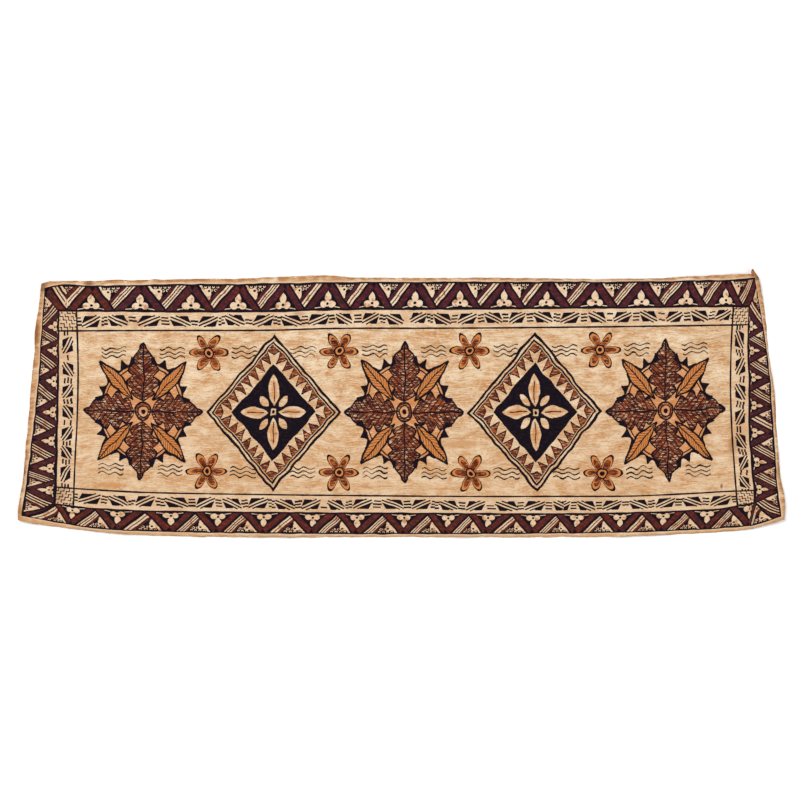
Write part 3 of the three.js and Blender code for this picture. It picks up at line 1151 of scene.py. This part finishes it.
def makeClothMaterial():
    material, desk, place = startMaterial("painted bark cloth")
    shade, height = barkSurface(desk, place)
    x, y = desk.parts(place)[:2]
    wobbleX, wobbleY, thin = brushWander(desk, place)
    alongLong, alongShort, strokesLong = desk.attribute("alongBorder")
    outX, outY, edge = desk.attribute("acrossBorder")
    fieldX, fieldY, strokesShort = desk.attribute("fieldPlace")

    # the triangle border and the tan of its bark
    onLong = outY > outX
    upperLeft = (y > 0) * (x < 0)
    lower = desk.inside(y, 20) * onLong
    ink, dye, cream, far, chance = borderBand(desk, alongLong, alongShort, outX, outY, upperLeft,
                                              lower, wobbleX * 0.6, wobbleY * 0.4)
    tan = desk.highest(desk.step(abs(x), 630, 665) * tonesAndPaintedHighlight["sideTan"],
                       desk.step(y, 120, -220) * tonesAndPaintedHighlight["footTan"])
    shade = desk.tint(tan, shade, bark["warm"])
    shade = desk.tint(cream * (tonesAndPaintedHighlight["creamLift"] - tan), shade, dyes["cream"])
    blush = desk.cloud(place, (11, 11), detail=2, shift=23.0)
    blush = desk.both(cream, desk.step(blush, 0.56, 0.7)) * tonesAndPaintedHighlight["blush"]
    shade = desk.tint(blush, shade, dyes["blush"])
    shade = marginShade(desk, place, shade, y, far, edge)
    shade = paintMarks(desk, shade, x, y)

    # the band of strokes and the field
    strokes, beyond = strokeMarks(desk, fieldX, fieldY, strokesLong, strokesShort, wobbleX * 0.5,
                                  wobbleY * 0.3, thin * 0.4)
    inBand = desk.inside(abs(beyond - 18) - 17, 2)
    shade = desk.tint(inBand * tonesAndPaintedHighlight["strokeBandLift"], shade, dyes["cream"])
    fieldInk, fieldDye, wash, halo = fieldPaint(desk, fieldX, fieldY, wobbleX, wobbleY, thin)
    dry = desk.cloud(place, (14, 2.2), detail=3, roughness=0.65, shift=51.0)
    dry = desk.step(dry, 0.63, 0.57)
    ink = desk.either(ink, strokes, fieldInk)
    dye = desk.either(dye, fieldDye * dry)
    wash = desk.either(wash * 0.9, halo * desk.step(dry, 0.15, 0.6) * tonesAndPaintedHighlight["dryWash"])

    # brown along the lower side, in the first groups at the upper left and, by chance, in some
    # cells; maroon elsewhere
    firstGroups = desk.step(x, -556, -580) * onLong
    inField = desk.inside(beyond, 1)
    tone = desk.highest(lower * tonesAndPaintedHighlight["lowerBrown"], firstGroups * tonesAndPaintedHighlight["firstGroupsBrown"],
                        desk.step(chance, 0.6, 0.95) * 0.4, inField)
    dyed, inked = paintShades(desk, place, x, tone, inField)
    shade = desk.tint(wash, shade, dyes["orange"])
    shade = desk.tint(dye * 0.98, shade, dyed)
    shade = desk.tint(ink, shade, inked)
    return finishMaterial(material, desk, shade, bark["roughness"] - ink * 0.22, height)


def makeBareMaterial():
    material, desk, place = startMaterial("bare bark")
    shade, height = barkSurface(desk, place)
    shade = desk.tint(0.35, shade, bark["warm"])
    return finishMaterial(material, desk, shade, bark["roughness"], height)


cloth = makeSheet()
cloth.data.materials.append(makeClothMaterial())
cloth.data.materials.append(makeBareMaterial())
for face in cloth.data.polygons:
    face.material_index = 0 if face.normal.z > 0.3 else 1
    face.use_smooth = abs(face.normal.z) > 0.3
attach(cloth, "root")
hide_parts("tapa_cloth")
print("the sheet is made")
